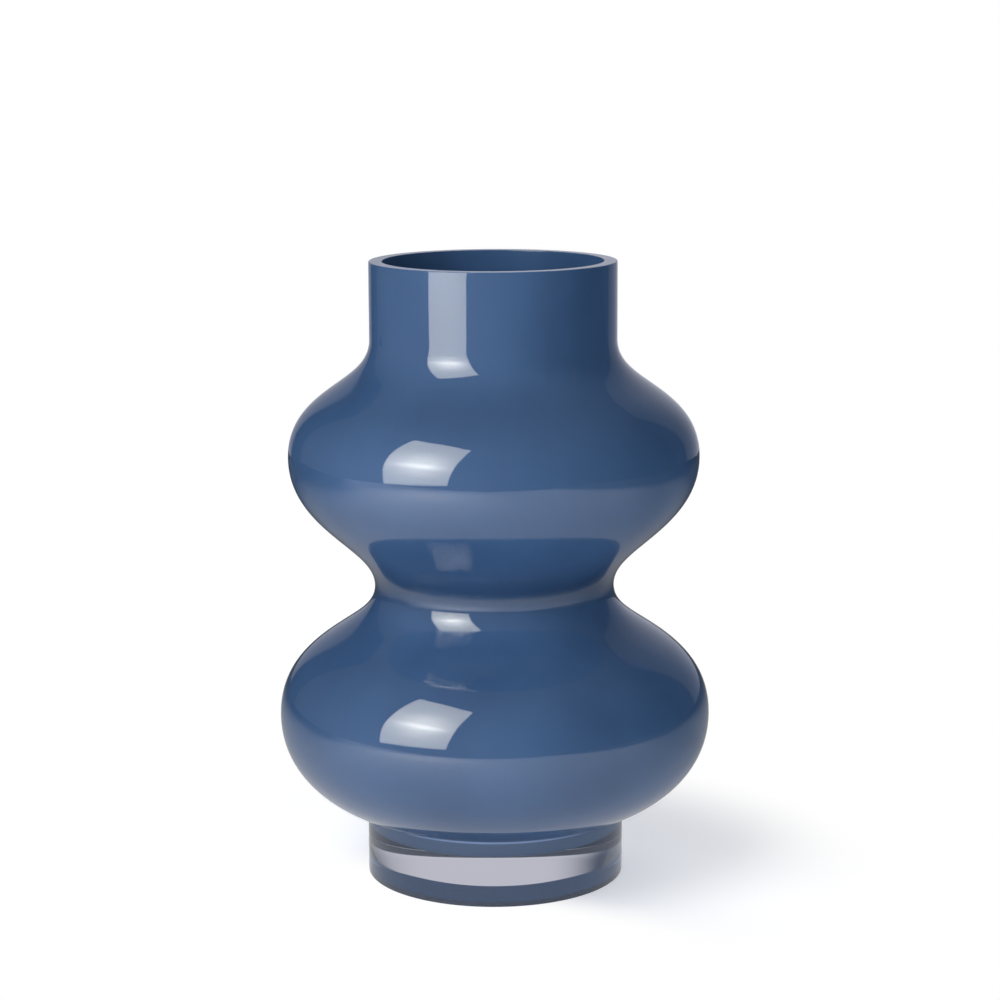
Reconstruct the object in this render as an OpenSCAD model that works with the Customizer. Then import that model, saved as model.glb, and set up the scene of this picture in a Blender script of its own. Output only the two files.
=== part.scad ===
// Blown and cased glass vase: a straight neck over two round swells on a thick clear foot.
// An opaque blue lining is the inner wall, a thicker clear casing lies over it, and the two are
// cut and polished flush at the rim. Origin: centre of the base, +Z up, millimetres.

/* [Height and neck] */
// Height from the table to the rim
height = 200; // [192:1:225]
// Outer diameter of the straight neck
neck_d = 79; // [70:0.5:88]
// Height at which the neck starts to flare into the upper swell
neck_base_z = 175.1; // [168:0.1:185]
// How far the neck's upright direction carries on into the flare
neck_carry = 15.2; // [8:0.1:22]

/* [Upper swell] */
// Largest outer diameter of the upper swell
upper_d = 131.8; // [115:0.2:150]
// Height of that diameter above the table
upper_z = 137.5; // [130:0.5:145]
// Radius of the outline's curve at that diameter, seen from the side
upper_bulge_r = 27.4; // [20:0.1:34]

/* [Waist] */
// Smallest outer diameter between the two swells
waist_d = 77.2; // [66:0.2:90]
// Height of the waist above the table
waist_z = 95.3; // [90:0.1:101]
// Radius of the outline's hollow curve at the waist, seen from the side
waist_hollow_r = 10.7; // [7:0.1:15]

/* [Lower swell] */
// Largest outer diameter of the lower swell
lower_d = 139.4; // [125:0.2:155]
// Height of that diameter above the table
lower_z = 53.3; // [49:0.1:58]
// Radius of the outline's curve at that diameter, seen from the side
lower_bulge_r = 33.5; // [26:0.1:40]
// Slope of the underside where it runs into the foot, in degrees
underside_slope = 8; // [4:0.5:14]
// How far the underside keeps that slope on its way up to the swell
underside_carry = 3.4; // [1:0.1:9]

/* [Foot] */
// Outer diameter of the clear foot
foot_d = 83.4; // [76:0.2:90]
// Height of the foot's wall, up to the fillet under the lower swell
foot_h = 20.7; // [20.5:0.1:25]
// Radius of the fillet between the foot's wall and the lower swell
foot_fillet_r = 1; // [0.5:0.1:2]
// Rounding of the foot's lower edge
foot_edge_r = 0.3; // [0.2:0.1:1.5]
// Width of the flat ring that the vase stands on, lower edge included
contact_ring_w = 7; // [4:0.1:12]
// Depth of the polished hollow inside the contact ring
hollow_depth = 2.2; // [0.6:0.1:3.5]
// Radius of the bend that brings the hollow's flat ceiling down to the ring, seen from the side
hollow_bend_r = 50; // [20:1:80]

/* [Glass layers] */
// Thickness of the clear casing
casing_t = 3.8; // [2.5:0.1:4.5]
// Thickness of the blue lining
lining_t = 0.5; // [0.4:0.05:1.2]
// Height of the lining's floor above the table, which is clear glass below it
floor_z = 15; // [12:0.1:16.5]
// Outer radius of the corner between the lining's floor and its wall
floor_corner_r = 3.5; // [1.6:0.1:4]
// Rounding of the rim's outer edge; the inner edge has it too, up to half the lining
rim_edge_r = 0.4; // [0.2:0.05:0.5]

/* [Hidden] */
$fn = 128;
curve_steps = 24;
corner_steps = 8;
hollow_steps = 12;

neck_r = neck_d / 2;
upper_r = upper_d / 2;
waist_r = waist_d / 2;
lower_r = lower_d / 2;
foot_r = foot_d / 2;
seam_r = foot_r - casing_t;
ring_inner_r = foot_r - contact_ring_w;
wall_t = casing_t + lining_t;

// A path is a list of stations. Each station is [point, normal], where the point is [radius, height]
// and the normal has length 1 and points out of the glass.

function direction(v) = v / norm(v);
function points(path) = [for (station = path) station[0]];
function reversed(list) = [for (i = [len(list) - 1:-1:0]) list[i]];
function from_second(list) = [for (i = [1:len(list) - 1]) list[i]];

// The same path moved into the glass by a depth
function inset(path, depth) = [for (station = path) [station[0] - depth * station[1], station[1]]];

// Round stretch about a centre; side is 1 where the glass lies inside the circle, -1 where outside
function arc(centre, r, from, to, steps, side = 1) =
    [for (i = [0:steps])
        let (a = from + (to - from) * i / steps, ray = [cos(a), sin(a)])
        [centre + r * ray, side * ray]];

// Cubic curve through the four points, taken downwards along the outline
function curve(p0, p1, p2, p3) =
    [for (i = [0:curve_steps])
        let (
            t = i / curve_steps,
            u = 1 - t,
            p = u * u * u * p0 + 3 * u * u * t * p1 + 3 * u * t * t * p2 + t * t * t * p3,
            d = direction(u * u * (p1 - p0) + 2 * u * t * (p2 - p1) + t * t * (p3 - p2))
        )
        [p, [-d[1], d[0]]]];

// Handle length that gives a cubic curve the bend radius r where it runs upright,
// when its next handle lies dr further in or out
function handle(r, dr) = sqrt(r * abs(dr) * 2 / 3);

// Lower end of the underside, where the fillet to the foot begins
fillet_centre = [foot_r + foot_fillet_r, foot_h];
slope_along = [cos(underside_slope), sin(underside_slope)];
slope_across = [-sin(underside_slope), cos(underside_slope)];
underside_end = fillet_centre + foot_fillet_r * slope_across;
underside_handle = underside_end + underside_carry * slope_along;

flare = curve(
    [neck_r, neck_base_z],
    [neck_r, neck_base_z - neck_carry],
    [upper_r, upper_z + handle(upper_bulge_r, upper_r - neck_r)],
    [upper_r, upper_z]);
draw_in = curve(
    [upper_r, upper_z],
    [upper_r, upper_z - handle(upper_bulge_r, upper_r - waist_r)],
    [waist_r, waist_z + handle(waist_hollow_r, upper_r - waist_r)],
    [waist_r, waist_z]);
swell_out = curve(
    [waist_r, waist_z],
    [waist_r, waist_z - handle(waist_hollow_r, lower_r - waist_r)],
    [lower_r, lower_z + handle(lower_bulge_r, lower_r - waist_r)],
    [lower_r, lower_z]);
underside = curve(
    [lower_r, lower_z],
    [lower_r, lower_z - handle(lower_bulge_r, lower_r - underside_handle[0])],
    underside_handle,
    underside_end);
fillet = arc(fillet_centre, foot_fillet_r, 90 + underside_slope, 180, corner_steps, -1);

// Outside of the body, from the rim to the top of the foot's wall
outline = concat(
    [[[neck_r, height - rim_edge_r], [1, 0]]],
    flare,
    from_second(draw_in),
    from_second(swell_out),
    from_second(underside),
    from_second(fillet));

// Seam between casing and lining, from the rim to the joint with the foot
seam = concat([[[neck_r - casing_t, height], [1, 0]]], inset(outline, casing_t));

// Rounded cup that the lining's lower end makes inside the foot
cup = concat(
    arc([seam_r - floor_corner_r, floor_z + floor_corner_r], floor_corner_r, 0, -90, corner_steps),
    [[[0, floor_z], [0, -1]]]);

// Opaque blue inner layer, one even skin from the rim to the floor
module blue_lining() {
    inner_r = neck_r - wall_t;
    edge_r = min(rim_edge_r, lining_t / 2);
    rim_edge = arc([inner_r + edge_r, height - edge_r], edge_r, 90, 180, corner_steps);
    inside = inset(concat(from_second(seam), cup), lining_t);
    color([0.13, 0.24, 0.42])
        rotate_extrude()
            polygon(concat(
                points(seam),
                points(cup),
                reversed(points(from_second(inside))),
                reversed(points(rim_edge))));
}

// Clear layer over the lining, ending on the flat joint with the foot
module clear_casing() {
    rim_edge = arc([neck_r - rim_edge_r, height - rim_edge_r], rim_edge_r, 90, 0, corner_steps);
    color([0.80, 0.88, 0.96, 0.35])
        rotate_extrude()
            polygon(concat(
                points(rim_edge),
                points(from_second(outline)),
                reversed(points(seam))));
}

// Thick clear disc with a seat for the lining's floor above and a shallow hollow below
module clear_foot() {
    bend_angle = acos(1 - hollow_depth / hollow_bend_r);
    bend_centre = [ring_inner_r - hollow_bend_r * sin(bend_angle), hollow_depth - hollow_bend_r];
    bend = arc(bend_centre, hollow_bend_r, 90, 90 - bend_angle, hollow_steps);
    edge = arc([foot_r - foot_edge_r, foot_edge_r], foot_edge_r, -90, 0, corner_steps);
    color([0.84, 0.90, 0.95, 0.35])
        rotate_extrude()
            polygon(concat(
                [[seam_r, foot_h]],
                points(cup),
                [[0, hollow_depth]],
                points(bend),
                points(edge),
                [[foot_r, foot_h]]));
}

blue_lining();
clear_casing();
clear_foot();
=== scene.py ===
# %% [markdown]
# # A cased glass vase with two round swells
# The real object is one blown bubble of opaque blue glass under a thicker clear layer, standing on a
# thick clear foot. Almost everything that the eye sees on it is light: a leaning window-shaped lamp
# mirrored in each swell, a pale table seen in the undersides, and thin lines where the foot bends
# what lies behind it. So the shape is turned exactly, as on a lathe, and most of the finish is left to
# real refraction. The rest is painted: painted shade in the waist, inside the foot, on the ground ring
# and on the table seen through the foot, painted light in the cavity, a faint glow in the foot, and
# painted highlight lines round the top of the foot.

# %% Frame and tools
from math import acos, cos, degrees, hypot, pi, radians, sin, sqrt

import bmesh
import bpy
from mathutils import Euler, Matrix, Vector


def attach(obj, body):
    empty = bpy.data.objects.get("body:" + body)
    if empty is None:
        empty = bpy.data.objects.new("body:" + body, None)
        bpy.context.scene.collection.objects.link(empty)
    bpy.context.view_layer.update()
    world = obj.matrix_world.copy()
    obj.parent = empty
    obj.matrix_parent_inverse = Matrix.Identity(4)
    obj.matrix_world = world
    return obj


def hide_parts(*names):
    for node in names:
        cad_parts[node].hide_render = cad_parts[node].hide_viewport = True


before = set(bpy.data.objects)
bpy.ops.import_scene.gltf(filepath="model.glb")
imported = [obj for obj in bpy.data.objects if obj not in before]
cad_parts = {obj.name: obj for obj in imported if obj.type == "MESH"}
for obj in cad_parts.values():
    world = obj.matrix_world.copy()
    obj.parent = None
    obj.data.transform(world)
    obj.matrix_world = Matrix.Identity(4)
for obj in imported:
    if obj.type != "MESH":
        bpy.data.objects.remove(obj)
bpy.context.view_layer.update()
print("frame nodes:", sorted(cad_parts))
scene = bpy.context.scene
MM = 0.001

# %% [markdown]
# ## Camera
# The picture was taken from a little above the rim, about 84 cm away. A long lens at that distance
# keeps the sides of the foot nearly parallel. The camera is placed first, so that each piece is seen
# in the photograph's own view.

# %% Camera
CAMERA_PLACE = (0.00194, -0.83634, 0.27985)
CAMERA_TILT, CAMERA_ROLL, CAMERA_LENS, FILM_WIDTH = 0.1857, -0.0038, 95.14, 36
camera_data = bpy.data.cameras.new("camera")
camera_data.sensor_width = FILM_WIDTH
camera_data.lens = CAMERA_LENS
camera_data.clip_start = 0.01
camera = bpy.data.objects.new("camera", camera_data)
scene.collection.objects.link(camera)
camera.location = CAMERA_PLACE
looking_down = Euler((pi / 2 - CAMERA_TILT, 0, 0)).to_matrix()
camera.rotation_euler = (looking_down @ Matrix.Rotation(CAMERA_ROLL, 3, "Z")).to_euler()
scene.camera = camera
scene.view_settings.view_transform = "Standard"
print("camera distance from the axis:", round(hypot(*camera.location[:2]), 3), "m")

# %% [markdown]
# ## Shader helper
# A material is a small network of nodes. Writing it as arithmetic keeps it readable: one class wraps
# the output socket of a node, and +, -, * and / on it add the Math nodes. Its add method makes any
# other node from its type, its settings and what goes into its sockets.

# %% Shader helper
class Wire:
    def __init__(self, tree, socket=None):
        self.tree, self.socket = tree, socket

    def add(self, kind, settings=None, sockets=None, output=0):
        node = self.tree.nodes.new("ShaderNode" + kind)
        for name, value in (settings or {}).items():
            setattr(node, name, value)
        for name, value in (sockets or {}).items():
            if isinstance(value, Wire):
                self.tree.links.new(value.socket, node.inputs[name])
            else:
                node.inputs[name].default_value = value
        return Wire(self.tree, node.outputs[output])

    def math(self, operation, first, second):
        return self.add("Math", {"operation": operation}, {0: first, 1: second})

    def __add__(self, other): return self.math("ADD", self, other)
    def __radd__(self, other): return self.math("ADD", other, self)
    def __sub__(self, other): return self.math("SUBTRACT", self, other)
    def __rsub__(self, other): return self.math("SUBTRACT", other, self)
    def __mul__(self, other): return self.math("MULTIPLY", self, other)
    def __rmul__(self, other): return self.math("MULTIPLY", other, self)
    def __truediv__(self, other): return self.math("DIVIDE", self, other)

    def step(self, low, high):
        """0 below low, 1 above high and a soft turn between them."""
        return self.add("MapRange", {"interpolation_type": "SMOOTHSTEP"},
                        {"Value": self, "From Min": low, "From Max": high})

    def bell(self, middle, spread):
        """1 at the middle, falling off smoothly to both sides."""
        away = (self - middle) / spread
        return self.add("Math", {"operation": "EXPONENT"}, {0: -1 * away * away})

    def tint(self, dark, light):
        """Colour that goes from dark to light as this value goes from 0 to 1."""
        return self.add("Mix", {"data_type": "RGBA"}, {0: self, 6: dark, 7: light}, output=2)


def new_material(name):
    """A new material, a Wire to build its nodes with, and its Principled shader."""
    material = bpy.data.materials.new(name)
    material.use_nodes = True
    shader = material.node_tree.nodes["Principled BSDF"]
    return material, Wire(material.node_tree), shader


def to_output(material, wire):
    tree = material.node_tree
    tree.links.new(wire.socket, tree.nodes["Material Output"].inputs["Surface"])


def to_socket(wire, shader, name):
    wire.tree.links.new(wire.socket, shader.inputs[name])

# %% [markdown]
# ## Table
# A pale matt table carries the vase's soft shadow. To the camera it fades into plain white on the
# lamp's side and a short way out, so that no horizon crosses the picture. The polished glass mirrors
# a table that is lit past white, and its image has to end where the reflections in the undersides
# end. Through the foot it is seen in the vase's own shadow, and that shadow is painted: there the
# table's colour is a dark blue painted shade. Each kind of ray therefore gets its own table, told
# apart by the Light Path node. Its Is Glossy Ray is also true for light that passes through clear
# glass, so a mirror ray is glossy but not transmitted.

# %% Table
def flat_sheet(name, width, depth, place, material):
    mesh = bpy.data.meshes.new(name)
    bm = bmesh.new()
    bmesh.ops.create_grid(bm, x_segments=1, y_segments=1, size=0.5)
    bmesh.ops.scale(bm, vec=(width, depth, 1), verts=bm.verts)
    bmesh.ops.transform(bm, matrix=place, verts=bm.verts)
    bm.to_mesh(mesh)
    bm.free()
    mesh.materials.append(material)
    sheet = bpy.data.objects.new(name, mesh)
    scene.collection.objects.link(sheet)
    return sheet


TABLE_WIDTH, TABLE_FRONT, TABLE_BACK, TABLE_DROP = 2.4, -0.83, 0.9, 0.05 * MM
TABLE_WHITE = (0.6, 0.6, 0.6, 1)
TABLE_BOUNCE = (1.2, 1.2, 1.2, 1)
TABLE_ON_CAMERA = (1.25, 1.25, 1.25, 1)
TABLE_LIFT = (0.17, 0.17, 0.17, 1)
# Painted shade: the table's dark blue colour for rays that pass through the foot.
TABLE_PAINTED_SHADE_THROUGH_FOOT = (0.040, 0.065, 0.12, 1)
BLACK = (0, 0, 0, 1)
TO_LAMP_X, TO_LAMP_Y = -0.55, -0.83
table_paint, w, shader = new_material("matt_white_table")
shader.inputs["Roughness"].default_value = 1
shader.inputs["Specular IOR Level"].default_value = 0
seen, scattered, glossy, through = (w.add("LightPath", output=kind) for kind in (0, 2, 3, 6))
mirrored = glossy * (1 - through)
place = w.add("TexCoord", output=3)
x, y = (w.add("SeparateXYZ", None, {"Vector": place}, output=axis) for axis in (0, 1))
# Rays through the foot see the table in this painted shade.
unseen_colour = through.tint(scattered.tint(TABLE_WHITE, TABLE_BOUNCE), TABLE_PAINTED_SHADE_THROUGH_FOOT)
to_socket(seen.tint(unseen_colour, TABLE_ON_CAMERA), shader, "Base Color")
lift = w.add("Emission", None, {"Color": seen.tint(BLACK, TABLE_LIFT)})
lit_table = w.add("AddShader", None, {0: Wire(w.tree, shader.outputs[0]), 1: lift})
white = w.add("Emission", None, {"Color": (1, 1, 1, 1)})
far = w.add("VectorMath", {"operation": "LENGTH"}, {0: place}, output=1).step(0.075, 0.13)
lamp_side = (TO_LAMP_X * x + TO_LAMP_Y * y).step(0.005, 0.03)
plain_white = seen * (1 - (1 - far) * (1 - lamp_side))
unmirrored = w.add("MixShader", None, {0: plain_white, 1: lit_table, 2: white})
print("table reaches y", TABLE_FRONT, "to", TABLE_BACK, "m")

# %% [markdown]
# ## The table in the mirrors
# The undersides of the swells show the table as a broad pale field. It is brightest under the lamp,
# dims towards the back and to the sides, and ends in a soft edge. The image is written as a value of
# place on the table, with one named step for each of those edges.

# %% Table in the mirrors
MIRROR_FULL = 4.0
UNDER_LAMP_X, UNDER_LAMP_Y, UNDER_LAMP_SPREAD, UNDER_LAMP_GLOW = -0.30, -0.40, 0.26, 2.4
LEFT_X, LEFT_Y, LEFT_SPREAD, LEFT_GLOW = -0.22, -0.02, 0.18, 0.25
under_lamp = x.bell(UNDER_LAMP_X, UNDER_LAMP_SPREAD) * y.bell(UNDER_LAMP_Y, UNDER_LAMP_SPREAD)
left = x.bell(LEFT_X, LEFT_SPREAD) * y.bell(LEFT_Y, LEFT_SPREAD)
forward = -1 * y
to_front = forward.step(-0.10, 0.22)
back_edge = 1 - 0.85 * y.step(0.10, 0.45)
right_edge = 1 - 0.85 * x.step(0.40, 0.62)
left_edge = 1 - 0.5 * (-1 * x).step(0.36, 0.5) * (1 - to_front)
field = back_edge * right_edge * left_edge * (0.36 + 0.92 * to_front + 0.22 * forward.step(0.2, 0.5))
mirror_value = field + UNDER_LAMP_GLOW * under_lamp + LEFT_GLOW * left
mirror_image = w.add("Emission", None, {"Color": (mirror_value / MIRROR_FULL).tint(
    BLACK, (MIRROR_FULL, MIRROR_FULL, MIRROR_FULL, 1))})
to_output(table_paint, w.add("MixShader", None, {0: mirrored, 1: unmirrored, 2: mirror_image}))
table_place = Matrix.Translation((0, (TABLE_FRONT + TABLE_BACK) / 2, -TABLE_DROP))
table = flat_sheet("table", TABLE_WIDTH, TABLE_BACK - TABLE_FRONT, table_place, table_paint)
print("table", TABLE_WIDTH, "m wide, mirrored at up to", MIRROR_FULL)

# %% [markdown]
# ## Lamps
# The shape of the lamp can be read from its mirror images: the same leaning rectangle shows in the
# neck, in each swell and in the waist. Following the mirror rays back from the corners of those images
# puts a softbox at the front left, tipped towards the vase and brightest in the middle. The mirror
# image and the light that the softbox throws are two lamps in one place. So the image can be as bright
# as in the photograph while the blue is lit at a plain level. Two wide dim fills, which the mirrors
# don't show, stand for the light that the milky glass passes on inside its own wall. One is at the
# front right and one behind, so that the blue looks the same from every side.

# %% Lamps
def place_lamp(name, centre, across, upward, width, height, radiance):
    """A rectangular lamp that shines along across x upward, towards the vase."""
    light = bpy.data.lights.new(name, "AREA")
    light.shape = "RECTANGLE"
    light.size, light.size_y = width, height
    light.energy = radiance * pi * width * height
    lamp = bpy.data.objects.new(name, light)
    scene.collection.objects.link(lamp)
    across = across.normalized()
    back = across.cross(upward).normalized()
    lamp.matrix_world = (Matrix.Translation(centre)
                         @ Matrix((across, back.cross(across), back)).transposed().to_4x4())
    lamp.visible_camera = False
    return lamp


SOFTBOX_CENTRE = Vector((-0.290, -0.352, 0.388))
SOFTBOX_ACROSS = Vector((0.625, -0.779, 0.053))
SOFTBOX_UP = Vector((0.209, 0.233, 0.950))
SOFTBOX_WIDTH, SOFTBOX_HEIGHT, SOFTBOX_LIGHT = 0.344, 0.599, 3.4
IMAGE_NEARER, IMAGE_WHITE = 0.985, (1, 0.99, 0.9)
GLOW_ALL_OVER, GLOW_MIDDLE, GLOW_STREAK = 6.0, 9.0, 8.0
softbox = place_lamp("softbox", SOFTBOX_CENTRE, SOFTBOX_ACROSS, SOFTBOX_UP,
                     SOFTBOX_WIDTH, SOFTBOX_HEIGHT, SOFTBOX_LIGHT)
softbox.visible_glossy = softbox.visible_transmission = False
image = place_lamp("softbox_image", SOFTBOX_CENTRE * IMAGE_NEARER, SOFTBOX_ACROSS, SOFTBOX_UP,
                   SOFTBOX_WIDTH, SOFTBOX_HEIGHT, 1.0)
image.visible_diffuse = image.visible_transmission = False
image.data.color = IMAGE_WHITE
image.data.use_nodes = True
w = Wire(image.data.node_tree)
spot = w.add("NewGeometry", output=5)
u, v = (w.add("SeparateXYZ", None, {"Vector": spot}, output=axis) for axis in (0, 1))
glow = (GLOW_ALL_OVER + GLOW_MIDDLE * u.bell(0.5, 0.38) * v.bell(0.42, 0.24)
        + GLOW_STREAK * u.bell(0.5, 0.3) * v.bell(0.39, 0.035))
to_socket(glow, image.data.node_tree.nodes["Emission"], "Strength")


def place_fill(name, turn, distance, height, radiance):
    """A wide dim lamp, turn degrees round to the right of the front, for scattered light only."""
    out = Vector((sin(radians(turn)), -cos(radians(turn)), 0))
    across = Vector((cos(radians(turn)), sin(radians(turn)), 0))
    upright = Vector((0, 0, 1))
    fill = place_lamp(name, out * distance + upright * height, across, upright - FILL_LEAN * out,
                      FILL_WIDTH, FILL_HEIGHT, radiance)
    fill.visible_glossy = fill.visible_transmission = False


FILL_WIDTH, FILL_HEIGHT, FILL_LEAN = 1.0, 0.8, 0.15
place_fill("front_fill", turn=20, distance=1.0, height=0.25, radiance=1.4)
place_fill("back_fill", turn=168, distance=0.7, height=0.45, radiance=1.7)
print("softbox", SOFTBOX_WIDTH, "x", SOFTBOX_HEIGHT, "m,", round(SOFTBOX_CENTRE.length, 3), "m away")

# %% [markdown]
# ## Backdrop
# A sheet of finite width stands behind the vase. The glass of the foot bends it into the bright band,
# which fades to one side because the sheet does. It also mirrors in the far sides of the swells,
# where it ends in straight edges and is brightest behind the vase. Both views of it are values of the
# distance across the sheet, and a mirror ray takes the second.

# %% Backdrop
BACKDROP_LEFT, BACKDROP_RIGHT, BACKDROP_TOP = -0.95, 1.7, 1.2
BACKDROP_PAPER = (0.98, 0.98, 1.06, 1)
BACKDROP_SHADE = (0.030, 0.045, 0.090, 1)
backdrop_paint, w, _ = new_material("backdrop_paper")
mirrored = w.add("LightPath", output=3) * (1 - w.add("LightPath", output=6))
across = w.add("SeparateXYZ", None, {"Vector": w.add("TexCoord", output=3)}, output=0)
inside = across.step(-0.55, -0.47) * (1 - across.step(0.96, 1.06))
in_mirrors = inside * (0.15 + 0.42 * across.bell(0.08, 0.45))
through_foot = 0.48 * across.step(-0.82, -0.22) * (1 - 0.75 * across.step(0.3, 1.5))
grey = through_foot + mirrored * (in_mirrors - through_foot)
backdrop_light = w.add("Emission", None, {"Color": grey.tint(BACKDROP_SHADE, BACKDROP_PAPER)})
to_output(backdrop_paint, backdrop_light)
backdrop_place = (Matrix.Translation(((BACKDROP_LEFT + BACKDROP_RIGHT) / 2, TABLE_BACK, BACKDROP_TOP / 2))
                  @ Matrix.Rotation(pi / 2, 4, "X"))
backdrop = flat_sheet("backdrop", BACKDROP_RIGHT - BACKDROP_LEFT, BACKDROP_TOP, backdrop_place,
                      backdrop_paint)
backdrop.visible_camera = False
print("backdrop from x", BACKDROP_LEFT, "to", BACKDROP_RIGHT, "m")

# %% [markdown]
# ## World
# The world is plain white to the camera. To everything else it is a dim room, brightest on the
# camera's side, with a little light from above and almost dark at the back, as the mirror images
# say. Seen through the foot it is a little blue.

# %% World
ROOM_IN_MIRRORS, ROOM_LIGHT = 0.6, 0.25
ROOM_THROUGH_FOOT = (0.55, 0.66, 0.90, 1)
ROOM_TURN, ROOM_FALL, ROOM_OVERHEAD = radians(-42), 2.3, 0.22
world = bpy.data.worlds.new("white_studio")
scene.world = world
world.use_nodes = True
w = Wire(world.node_tree)
seen, scattered, through = (w.add("LightPath", output=kind) for kind in (0, 2, 6))
direction = w.add("TexCoord", output=0)
bright_side = (sin(ROOM_TURN), -cos(ROOM_TURN), 0)
facing_room = w.add("VectorMath", {"operation": "DOT_PRODUCT"}, {0: direction, 1: bright_side}, output=1)
overhead = w.add("SeparateXYZ", None, {"Vector": direction}, output=2)
turned_to_room = 0.5 + 0.5 * facing_room
room = turned_to_room.math("POWER", turned_to_room, ROOM_FALL) + ROOM_OVERHEAD * overhead.step(0.4, 1)
unseen = room * (ROOM_IN_MIRRORS + (ROOM_LIGHT - ROOM_IN_MIRRORS) * scattered)
background = world.node_tree.nodes["Background"]
refracted = (1 - seen) * through
to_socket(refracted.tint((1, 1, 1, 1), ROOM_THROUGH_FOOT), background, "Color")
to_socket(seen + (1 - seen) * unseen, background, "Strength")
print("room", ROOM_IN_MIRRORS, "in mirrors and", ROOM_LIGHT, "for scattered light")

# %% [markdown]
# ## Outline of the vase
# The outline is the same as in the solid model: four smooth curves joined where the vase is widest
# or narrowest, and a small fillet into the foot. Each stop on it keeps the direction that points
# out of the glass, so the same outline moved inwards gives the seam and the inner wall.

# %% Measures
HEIGHT = 200 * MM
NECK_R, NECK_BASE_Z, NECK_CARRY = 39.5 * MM, 175.1 * MM, 15.2 * MM
UPPER_R, UPPER_Z, UPPER_BULGE = 65.9 * MM, 137.5 * MM, 27.4 * MM
WAIST_R, WAIST_Z, WAIST_HOLLOW = 38.6 * MM, 95.3 * MM, 10.7 * MM
LOWER_R, LOWER_Z, LOWER_BULGE = 69.7 * MM, 53.3 * MM, 33.5 * MM
UNDERSIDE_SLOPE, UNDERSIDE_CARRY = radians(8), 3.4 * MM
FOOT_R, FOOT_H, FOOT_FILLET, FOOT_EDGE = 41.7 * MM, 20.7 * MM, 1 * MM, 0.3 * MM
RING_WIDTH, HOLLOW_DEPTH, HOLLOW_BEND = 7 * MM, 2.2 * MM, 50 * MM
CASING_T, LINING_T = 3.8 * MM, 0.5 * MM
FLOOR_Z, FLOOR_CORNER, RIM_EDGE = 15 * MM, 3.5 * MM, 0.4 * MM
CURVE_STEPS, TURN_STEPS = 34, 144
print("wall", round((CASING_T + LINING_T) / MM, 2), "mm")

# %% Outline
def curve(*handles):
    """Stops along a cubic curve, each a point and the direction out of the glass."""
    p0, p1, p2, p3 = (Vector(h) for h in handles)
    stops = []
    for i in range(CURVE_STEPS + 1):
        t = i / CURVE_STEPS
        u = 1 - t
        point = u**3 * p0 + 3 * u * u * t * p1 + 3 * u * t * t * p2 + t**3 * p3
        along = (u * u * (p1 - p0) + 2 * u * t * (p2 - p1) + t * t * (p3 - p2)).normalized()
        stops.append((point, Vector((-along.y, along.x))))
    return stops


def arc(centre, radius, start, end, steps, side=1):
    """Stops along a round stretch; side is -1 where the glass lies outside the circle."""
    stops = []
    for i in range(steps + 1):
        a = radians(start + (end - start) * i / steps)
        ray = Vector((cos(a), sin(a)))
        stops.append((Vector(centre) + radius * ray, side * ray))
    return stops


def handle(bend_radius, reach):
    return sqrt(bend_radius * abs(reach) * 2 / 3)


def inset(stops, depth):
    return [(point - depth * out, out) for point, out in stops]


fillet_centre = Vector((FOOT_R + FOOT_FILLET, FOOT_H))
slope_along = Vector((cos(UNDERSIDE_SLOPE), sin(UNDERSIDE_SLOPE)))
underside_end = fillet_centre + FOOT_FILLET * Vector((-slope_along.y, slope_along.x))
underside_handle = underside_end + UNDERSIDE_CARRY * slope_along
outline = [(Vector((NECK_R, HEIGHT)), Vector((1, 0)))]
outline += curve((NECK_R, NECK_BASE_Z), (NECK_R, NECK_BASE_Z - NECK_CARRY),
                 (UPPER_R, UPPER_Z + handle(UPPER_BULGE, UPPER_R - NECK_R)), (UPPER_R, UPPER_Z))
outline += curve((UPPER_R, UPPER_Z), (UPPER_R, UPPER_Z - handle(UPPER_BULGE, UPPER_R - WAIST_R)),
                 (WAIST_R, WAIST_Z + handle(WAIST_HOLLOW, UPPER_R - WAIST_R)), (WAIST_R, WAIST_Z))[1:]
outline += curve((WAIST_R, WAIST_Z), (WAIST_R, WAIST_Z - handle(WAIST_HOLLOW, LOWER_R - WAIST_R)),
                 (LOWER_R, LOWER_Z + handle(LOWER_BULGE, LOWER_R - WAIST_R)), (LOWER_R, LOWER_Z))[1:]
outline += curve((LOWER_R, LOWER_Z), (LOWER_R, LOWER_Z - handle(LOWER_BULGE, LOWER_R - underside_handle.x)),
                 underside_handle, underside_end)[1:]
outline += arc(fillet_centre, FOOT_FILLET, 90 + degrees(UNDERSIDE_SLOPE), 180, 8, -1)[1:]
widest = max(point.x for point, _ in outline)
print("outline:", len(outline), "stops, widest", round(widest / MM, 1), "mm from the axis")

# %% [markdown]
# ## Turning on the lathe
# Anything blown and turned is round about one axis, so a half section and one spin make the whole
# wall. A section is a chain of edges in the plane of the axis. Spinning it, welding the start to the
# end and turning all faces outwards gives a closed skin. Small edge roundings are bevels that are
# cut afterwards on the sharp circles, as a grinder breaks a cut edge.

# %% Lathe
def turn(body, section, slot=0):
    """Spins a chain of points on its own and adds it to the body, with one material slot."""
    bm = bmesh.new()
    verts = [bm.verts.new((p.x, 0, p.y)) for p in section]
    edges = [bm.edges.new(pair) for pair in zip(verts, verts[1:])]
    bmesh.ops.spin(bm, geom=verts + edges, cent=(0, 0, 0), axis=(0, 0, 1), angle=2 * pi,
                   steps=TURN_STEPS, use_merge=True)
    for face in bm.faces:
        face.material_index = slot
    turned = bpy.data.meshes.new("turned")
    bm.to_mesh(turned)
    bm.free()
    body.from_mesh(turned)
    bpy.data.meshes.remove(turned)


NEAR, CREASE = 0.01 * MM, radians(14)


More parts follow.
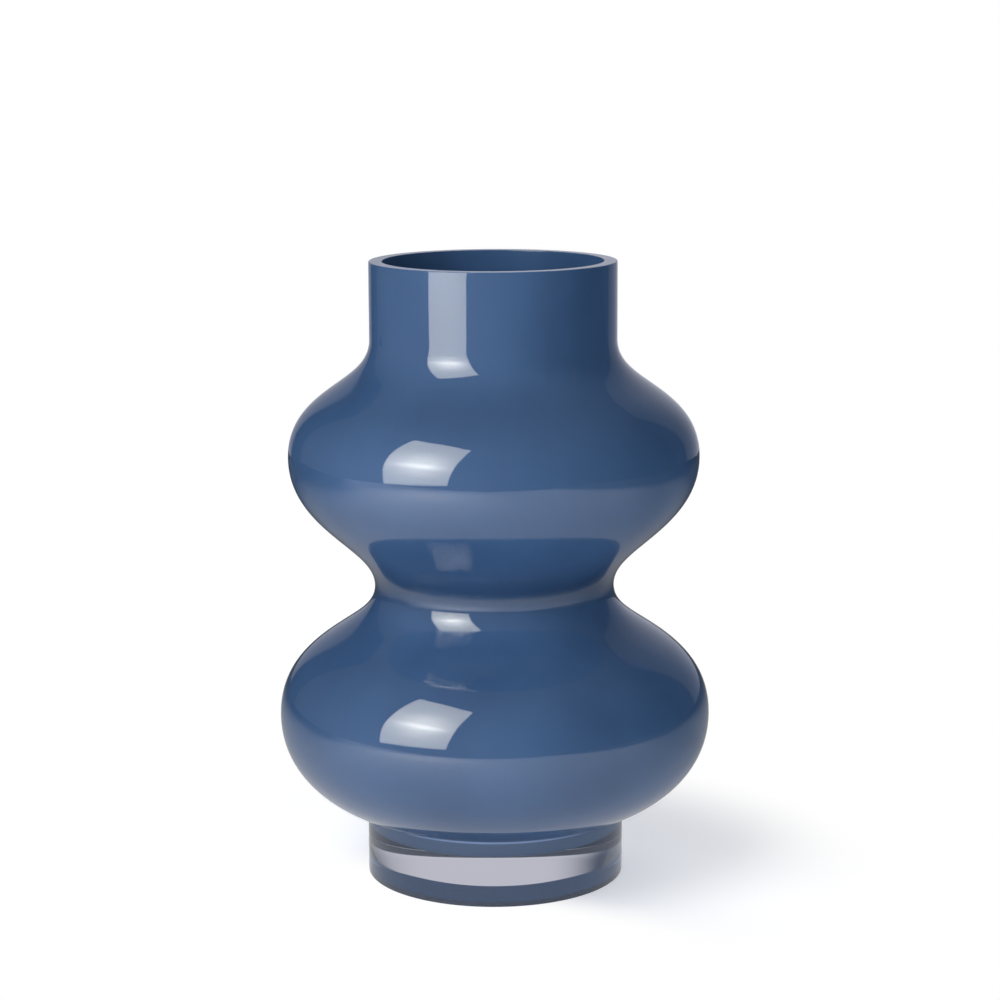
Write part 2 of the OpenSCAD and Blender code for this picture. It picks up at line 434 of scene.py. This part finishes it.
def break_edge(bm, radius, height, size, segments):
    """Rounds the sharp circle at that radius and height."""
    ring = [edge for edge in bm.edges
            if all(abs(hypot(vert.co.x, vert.co.y) - radius) < NEAR
                   and abs(vert.co.z - height) < NEAR for vert in edge.verts)]
    bmesh.ops.bevel(bm, geom=ring, offset=size, offset_type="OFFSET", segments=segments, profile=0.5,
                    affect="EDGES", material=-1, clamp_overlap=False)
    print("rounded", len(ring), "edges at radius", round(radius / MM, 2), "mm")


def weld(bm):
    bmesh.ops.remove_doubles(bm, verts=bm.verts, dist=1e-6)
    bmesh.ops.recalc_face_normals(bm, faces=bm.faces)


def finish(bm, name, materials):
    """Makes the mesh an object on the vase's one body, with smooth glass and crisp cut edges."""
    for face in bm.faces:
        face.smooth = True
    for edge in bm.edges:
        edge.smooth = len(edge.link_faces) == 2 and edge.calc_face_angle() < CREASE
    open_edges = sum(len(edge.link_faces) != 2 for edge in bm.edges)
    mesh = bpy.data.meshes.new(name)
    bm.to_mesh(mesh)
    bm.free()
    for material in materials:
        mesh.materials.append(material)
    piece = bpy.data.objects.new(name, mesh)
    scene.collection.objects.link(piece)
    even = piece.modifiers.new("even_shading", "WEIGHTED_NORMAL")
    even.keep_sharp = True
    even.mode = "FACE_AREA_WITH_ANGLE"
    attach(piece, "root")
    print(name, len(mesh.polygons), "faces,", open_edges, "open edges")
    return piece

# %% [markdown]
# ## Blue glass
# The lining is opaque blue glass with no pattern. Close up it isn't flat paint: the colour was
# rolled on as a hot skin, so its depth drifts a little in soft vertical streaks. A darker blue in the
# waist is painted shade, where the two swells shut out light. Inside the foot the blue turns a grey
# slate, which is painted shade under the overhang of the lower swell, and the fine light lines round
# it there are painted highlights, for light that the fillet above the foot mirrors and bends. The
# clear foot gathers light and passes it on to the blue above it. A path tracer can't follow that
# without noise, so the blue inside the foot has a faint glow of its own. The two finishes differ in
# colour: the side that faces the cavity is a lighter blue, painted light for the dim cavity. It is
# bare glass and shines. The side that is fused to the clear layer has no surface of its own, so it
# gets no gloss: the shine there is the clear layer's.

# %% Blue glass
DEEP_BLUE = (0.041, 0.092, 0.202, 1)
LIGHT_BLUE = (0.050, 0.110, 0.236, 1)
# Painted shade: a darker blue for the waist, where the swells shut out light.
WAIST_PAINTED_SHADE = (0.026, 0.060, 0.134, 1)
# Painted light: a lighter blue for the bare side, to brighten the dim cavity.
INNER_BLUE_PAINTED_LIGHT = (0.060, 0.128, 0.272, 1)
# Painted shade: a grey slate blue for the lining inside the foot, under the lower swell.
FOOT_PAINTED_SHADE = (0.016, 0.037, 0.082, 1)
# Painted highlight: light lines round the blue near the top of the foot, for light from the fillet.
PAINTED_LINE_HIGHLIGHT = (0.20, 0.30, 0.50, 1)
PAINTED_LINE_HEIGHTS, PAINTED_LINE_WIDTH = (0.0204, 0.0213, 0.0224), 0.0004
FLOOR_GLOW = (0.026, 0.046, 0.086, 1)
FOOT_TOP, FOOT_FADE_END, GLOW_FADE_END = 0.0205, 0.0240, 0.0235
# Height and spread of the painted shade in the waist.
WAIST_SHADE_Z, WAIST_SHADE_SPREAD = 0.1005, 0.0078


def blue_glass(name, light_blue, roughness, specular, floor_glow):
    material, w, shader = new_material(name)
    place = w.add("TexCoord", output=3)
    drawn = w.add("Mapping", None, {"Vector": place, "Scale": (26, 26, 5)})
    streaks = w.add("TexNoise", None, {"Vector": drawn, "Scale": 1.0, "Detail": 3.0, "Roughness": 0.55})
    clouds = w.add("TexNoise", None, {"Vector": place, "Scale": 34.0, "Detail": 2.0})
    depth = (0.6 * streaks + 0.4 * clouds).step(0.36, 0.64)
    body = depth.tint(DEEP_BLUE, light_blue)
    height = w.add("SeparateXYZ", None, {"Vector": place}, output=2)
    # Painted shade: the blue is darkened around the waist's height.
    body = height.bell(WAIST_SHADE_Z, WAIST_SHADE_SPREAD).tint(body, WAIST_PAINTED_SHADE)
    # Painted shade: below the foot's top the blue turns slate.
    colour = (1 - height.step(FOOT_TOP, FOOT_FADE_END)).tint(body, FOOT_PAINTED_SHADE)
    # Painted highlight lines at three heights round the blue.
    for line_height in PAINTED_LINE_HEIGHTS:
        colour = height.bell(line_height, PAINTED_LINE_WIDTH).tint(colour, PAINTED_LINE_HIGHLIGHT)
    to_socket(colour, shader, "Base Color")
    to_socket((1 - height.step(FOOT_TOP, GLOW_FADE_END)).tint(BLACK, floor_glow), shader, "Emission Color")
    shader.inputs["Emission Strength"].default_value = 1
    shader.inputs["Specular IOR Level"].default_value = specular
    grain = w.add("TexNoise", None, {"Vector": place, "Scale": 210.0, "Detail": 2.0})
    to_socket(roughness - 0.02 + 0.04 * grain, shader, "Roughness")
    return material


# The bare side takes the lighter blue, which is painted light.
bare_blue = blue_glass("blue_glass_bare", INNER_BLUE_PAINTED_LIGHT, 0.12, 0.5, BLACK)
fused_blue = blue_glass("blue_glass_fused", LIGHT_BLUE, 0.97, 0.0, FLOOR_GLOW)
print("blue written as", DEEP_BLUE[:3], "to", LIGHT_BLUE[:3])

# %% [markdown]
# ## Blue lining
# One even skin from the rim to its own rounded floor. The fused outside and the bare inside are
# turned one after the other, so each gets its material slot at once, and are then welded into one
# closed wall.

# %% Blue lining
wall_out = [p for p, _ in inset(outline, CASING_T)]
wall_in = [p for p, _ in inset(outline, CASING_T + LINING_T)]
seam_r = FOOT_R - CASING_T
bm = bmesh.new()
turn(bm, wall_out + [Vector((seam_r, FLOOR_Z)), Vector((0, FLOOR_Z))], slot=1)
turn(bm, [wall_out[0]] + wall_in + [Vector((seam_r - LINING_T, FLOOR_Z + LINING_T)),
                                    Vector((0, FLOOR_Z + LINING_T))], slot=0)
weld(bm)
break_edge(bm, seam_r, FLOOR_Z, FLOOR_CORNER, 8)
break_edge(bm, seam_r - LINING_T, FLOOR_Z + LINING_T, FLOOR_CORNER - LINING_T, 8)
break_edge(bm, wall_in[0].x, HEIGHT, LINING_T / 2, 5)
lining = finish(bm, "blue_lining_glass", [bare_blue, fused_blue])
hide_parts("blue_lining")

# %% [markdown]
# ## Clear glass
# Glass needs three things to look solid. Its surfaces are smooth enough to mirror a lamp edge, it
# bends the view of what lies behind, and it lets light through to that. A path tracer finds the
# first two, but it can't aim a lamp's light through a bending surface without noise. So for shadow
# rays and for rays scattered by the lining, a Mix Shader hands over to a plain Transparent shader.
# The surface has what hot-worked glass has: a very slight long waviness and a faint polish haze.

# %% Clear glass
clear_glass, w, shader = new_material("clear_glass")
shader.inputs["Transmission Weight"].default_value = 1
shader.inputs["IOR"].default_value = 1.5
place = w.add("TexCoord", output=3)
drift = w.add("TexNoise", None, {"Vector": place, "Scale": 12.0, "Detail": 1.0})
to_socket(drift.tint((0.966, 0.964, 0.990, 1), (0.978, 0.976, 0.994, 1)), shader, "Base Color")
waves = w.add("TexNoise", None, {"Vector": place, "Scale": 55.0, "Detail": 1.0})
to_socket(w.add("Bump", None, {"Strength": 0.02, "Distance": 0.001, "Height": waves}), shader, "Normal")
haze = w.add("TexNoise", None, {"Vector": place, "Scale": 90.0, "Detail": 2.0})
to_socket(0.006 * haze, shader, "Roughness")
glass = Wire(w.tree, shader.outputs[0])
through = w.add("BsdfTransparent")
scattered = w.add("LightPath", output=2)
shadow = w.add("LightPath", output=1)
lit = w.add("MixShader", None, {0: scattered, 1: glass, 2: through})
to_output(clear_glass, w.add("MixShader", None, {0: shadow, 1: lit, 2: through}))

# %% [markdown]
# ## Ground ring
# The ring that the vase stands on is ground matt, so the glass above it doesn't mirror the room
# there. Its dark blue-grey colour is painted shade, for the shadowed table under the foot, and from
# inside the foot it shows as a dark blue-grey band. It is a second material slot on the faces of the
# ring, because it is one surface of the same glass.

# %% Ground ring
ground_ring_painted_shade, w, shader = new_material("ground_ring_painted_shade")
place = w.add("TexCoord", output=3)
scratches = w.add("TexNoise", None, {"Vector": place, "Scale": 900.0, "Detail": 3.0})
# Painted shade: a dark blue-grey for the shadowed table seen through the ring.
to_socket(scratches.tint((0.055, 0.078, 0.122, 1), (0.085, 0.115, 0.175, 1)), shader, "Base Color")
to_socket(0.75 + 0.2 * scratches, shader, "Roughness")
shader.inputs["Specular IOR Level"].default_value = 0.1

# %% [markdown]
# ## Clear body and foot
# Casing and foot are fused while hot, so no surface is left between them. Two separate meshes that
# touch would show a false mirror at the joint. One closed skin therefore stands for both: outside
# wall, foot, polished hollow underneath, and an inner wall that lies hidden in the middle of the
# lining, so that nothing but blue glass is seen where the clear glass ends.

# %% Clear body and foot
RIM_DIP = 0.8 * MM
bury = CASING_T + LINING_T / 2
buried = [p for p, _ in inset(outline, bury)][1:]
rim_dip = [Vector((NECK_R - CASING_T, HEIGHT)), Vector((NECK_R - bury, HEIGHT - RIM_DIP))]
buried_floor = FLOOR_Z + LINING_T / 2
inner_skin = rim_dip + buried + [Vector((FOOT_R - bury, buried_floor)), Vector((0, buried_floor))]
ring_inner_r = FOOT_R - RING_WIDTH
bend_angle = acos(1 - HOLLOW_DEPTH / HOLLOW_BEND)
bend_centre = (ring_inner_r - HOLLOW_BEND * sin(bend_angle), HOLLOW_DEPTH - HOLLOW_BEND)
hollow = [p for p, _ in arc(bend_centre, HOLLOW_BEND, 90, 90 - degrees(bend_angle), 12)]
outer_skin = ([p for p, _ in outline] + [Vector((FOOT_R, 0))] + list(reversed(hollow))
              + [Vector((0, HOLLOW_DEPTH))])
bm = bmesh.new()
turn(bm, inner_skin)
turn(bm, [rim_dip[0]] + outer_skin)
weld(bm)
break_edge(bm, FOOT_R - bury, buried_floor, FLOOR_CORNER - LINING_T / 2, 8)
break_edge(bm, NECK_R, HEIGHT, RIM_EDGE, 6)
break_edge(bm, FOOT_R, 0, FOOT_EDGE, 8)
for face in bm.faces:
    middle = face.calc_center_median()
    if middle.z < NEAR and hypot(middle.x, middle.y) > ring_inner_r:
        face.material_index = 1
clear_body = finish(bm, "clear_body_and_foot", [clear_glass, ground_ring_painted_shade])
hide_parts("clear_casing", "clear_foot")
